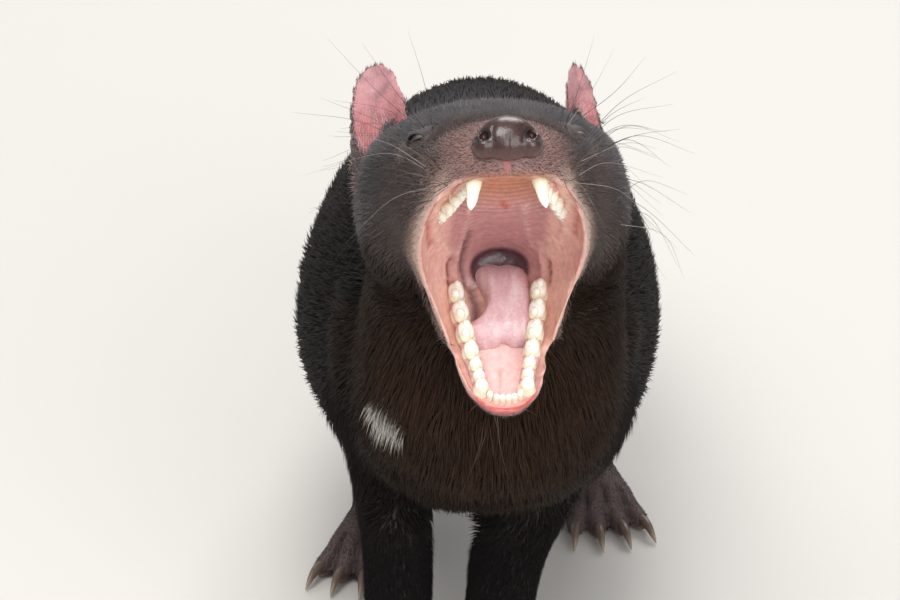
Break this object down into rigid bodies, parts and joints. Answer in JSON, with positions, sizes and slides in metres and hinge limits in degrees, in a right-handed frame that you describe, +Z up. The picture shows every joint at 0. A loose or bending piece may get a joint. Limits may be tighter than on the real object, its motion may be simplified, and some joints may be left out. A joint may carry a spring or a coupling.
{
  "type": "tasmanian devil model",
  "caption": "Life-size standing Tasmanian devil with its head raised and its jaws wide open, short rounded ears, stocky legs and a thick tail.",
  "frame": {"origin": "on the floor, under the middle of the animal's outline box", "axes": "-Y the way the animal faces, +X its own left side, +Z up"},
  "size_m": [0.1822, 0.6842, 0.3703],
  "materials": {
    "coat": "dense short black-brown fur",
    "brown_coat": "dense dark brown fur",
    "face": "short slate-grey fur that thins out over pink-brown skin",
    "gum": "wet pink gum with cream teeth",
    "tongue": "wet pink skin",
    "nose_pad": "wet dark brown skin",
    "ear_skin": "thin pink-red skin with sparse short fur",
    "eye": "polished near-black",
    "foot_skin": "pink-grey skin with sparse fur, horn-coloured claws"
  },
  "bodies": {
    "root": {"torso": "coat", "neck": "brown_coat", "tail": "coat", "head": "face", "lower_jaw": "face", "upper_gum_and_teeth": "gum", "lower_gum_and_teeth": "gum", "tongue": "tongue", "nose": "nose_pad", "ear_left": "ear_skin", "ear_right": "ear_skin", "eye_left": "eye", "eye_right": "eye", "upper_arm_left": "coat", "forearm_left": "coat", "forepaw_left": "foot_skin", "upper_arm_right": "coat", "forearm_right": "coat", "forepaw_right": "foot_skin", "thigh_left": "coat", "shank_left": "coat", "hindfoot_left": "foot_skin", "thigh_right": "coat", "shank_right": "coat", "hindfoot_right": "foot_skin"}
  },
  "joints": []
}
